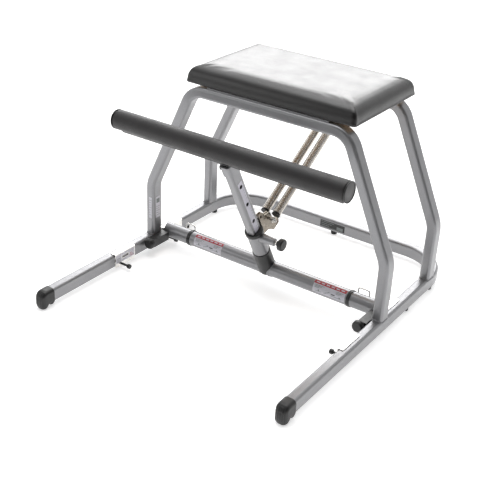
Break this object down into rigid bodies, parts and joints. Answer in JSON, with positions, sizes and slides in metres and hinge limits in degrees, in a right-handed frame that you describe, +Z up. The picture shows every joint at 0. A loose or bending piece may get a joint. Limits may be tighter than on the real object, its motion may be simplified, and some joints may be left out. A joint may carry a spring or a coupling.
{
  "type": "pilates chair",
  "caption": "Low exercise chair: padded seat on two tube arches over a U-shaped floor frame, with a sprung, height-adjustable press bar that swings down in front.",
  "frame": {"origin": "on the floor, under the middle of the whole object", "axes": "+Z up, +X to the right seen from the front user, -Y towards the press bar, +Y to the closed end of the floor frame"},
  "size_m": [0.802, 0.916, 0.6],
  "materials": {
    "frame_paint": "silver-grey satin powder coat",
    "plated_steel": "bright zinc plate",
    "spring_steel": "nickel plated spring wire",
    "black_plastic": "moulded, fine grain",
    "black_rubber": "matt rubber",
    "bar_steel": "black satin paint",
    "seat_vinyl": "black vinyl, fine grain, soft gloss",
    "bar_foam": "closed-cell foam with a smooth skin",
    "plywood": "raw plywood"
  },
  "bodies": {
    "frame": {"base_frame": "frame_paint", "floor_feet": "black_rubber", "front_arch": "frame_paint", "rear_arch": "frame_paint", "front_seat_strip": "frame_paint", "rear_seat_strip": "frame_paint", "seat_board": "plywood", "seat_pad": "seat_vinyl", "seat_screws": "plated_steel", "end_cap_left": "black_plastic", "end_cap_right": "black_plastic", "axle_stub_left": "frame_paint", "axle_stub_right": "frame_paint", "axle_bush_left": "black_plastic", "axle_bush_right": "black_plastic", "front_bracket_left": "plated_steel", "front_bracket_right": "plated_steel", "rear_bracket_left": "plated_steel", "rear_bracket_right": "plated_steel", "lock_block_left": "black_plastic", "lock_block_right": "black_plastic", "wire_clip_left": "plated_steel", "wire_clip_right": "plated_steel", "hanger_plate_left": "frame_paint", "hanger_plate_right": "frame_paint", "hanger_pin": "plated_steel"},
    "press_arm": {"axle_tube_left": "frame_paint", "axle_tube_right": "frame_paint", "axle_journal_left": "plated_steel", "axle_journal_right": "plated_steel", "arm_sleeve": "frame_paint", "arm_boot": "black_plastic", "arm_collar": "black_plastic", "pin_housing": "frame_paint", "index_spring": "spring_steel", "rack_plate_left": "plated_steel", "rack_plate_right": "plated_steel", "rack_pin": "plated_steel"},
    "bar_slide": {"arm_tube": "frame_paint", "bar_saddle": "frame_paint", "bar_bolts": "plated_steel", "bar_plate": "bar_steel", "bar_core": "bar_steel", "bar_pad": "bar_foam", "bar_cap_left": "black_plastic", "bar_cap_right": "black_plastic"},
    "clamp_knob": {"clamp_knob": "black_plastic"},
    "index_pull": {"index_pin": "plated_steel", "index_knob": "black_plastic"},
    "spring_lower": {"spring_left": "spring_steel", "spring_right": "spring_steel", "spring_plugs_lower": "black_plastic"},
    "spring_upper": {"spring_plugs_upper": "black_plastic"},
    "lock_knob_left": {"lock_knob_left": "black_plastic"},
    "front_bolt_left": {"front_bolt_left": "black_plastic"},
    "rear_bolt_left": {"rear_bolt_left": "black_plastic"},
    "lock_knob_right": {"lock_knob_right": "black_plastic"},
    "front_bolt_right": {"front_bolt_right": "black_plastic"},
    "rear_bolt_right": {"rear_bolt_right": "black_plastic"}
  },
  "joints": [
    {"name": "arm_swing", "type": "hinge", "parent": "frame", "child": "press_arm", "pos_m": [0, 0.061, 0.04575], "axis": [1, 0, 0], "range_deg": [0, 50], "stiffness_Nm_per_rad": 40, "springref_deg": -28.65},
    {"name": "bar_height", "type": "slide", "parent": "press_arm", "child": "bar_slide", "axis": [0, -0.4772, 0.8788], "range_m": [-0.14, 0]},
    {"name": "index_pin_push", "type": "slide", "parent": "press_arm", "child": "index_pull", "axis": [1, 0, 0], "range_m": [-0.007, 0], "deforming": ["index_spring"]},
    {"name": "clamp_knob_turn", "type": "hinge", "parent": "bar_slide", "child": "clamp_knob", "pos_m": [-0.0155, -0.13941, 0.41485], "axis": [-1, 0, 0], "range_deg": [-180, 180]},
    {"name": "spring_turn", "type": "hinge", "parent": "press_arm", "child": "spring_lower", "pos_m": [0, 0.04411, 0.20783], "axis": [1, 0, 0], "range_deg": [-53, 2]},
    {"name": "spring_stretch", "type": "slide", "parent": "spring_lower", "child": "spring_upper", "axis": [0, 0.829, 0.5592], "range_m": [-0.002, 0.1416], "deforming": ["spring_left", "spring_right"]},
    {"name": "lock_knob_turn_left", "type": "hinge", "parent": "frame", "child": "lock_knob_left", "pos_m": [-0.352, -0.0313, 0.041], "axis": [0, -1, 0], "range_deg": [-180, 180]},
    {"name": "front_bolt_left_turn", "type": "hinge", "parent": "frame", "child": "front_bolt_left", "pos_m": [-0.36, -0.149, 0.015], "axis": [1, 0, 0], "range_deg": [-180, 180]},
    {"name": "rear_bolt_left_turn", "type": "hinge", "parent": "frame", "child": "rear_bolt_left", "pos_m": [-0.36, 0.066, 0.015], "axis": [1, 0, 0], "range_deg": [-180, 180]},
    {"name": "lock_knob_turn_right", "type": "hinge", "parent": "frame", "child": "lock_knob_right", "pos_m": [0.352, -0.0313, 0.041], "axis": [0, -1, 0], "range_deg": [-180, 180]},
    {"name": "front_bolt_right_turn", "type": "hinge", "parent": "frame", "child": "front_bolt_right", "pos_m": [0.36, -0.149, 0.015], "axis": [-1, 0, 0], "range_deg": [-180, 180]},
    {"name": "rear_bolt_right_turn", "type": "hinge", "parent": "frame", "child": "rear_bolt_right", "pos_m": [0.36, 0.066, 0.015], "axis": [-1, 0, 0], "range_deg": [-180, 180]}
  ],
  "couplings": [
    {"joint": "spring_turn", "follows": "arm_swing", "ratio": -1.0171},
    {"joint": "spring_stretch", "follows": "arm_swing", "m_per_rad": 0.15768}
  ]
}
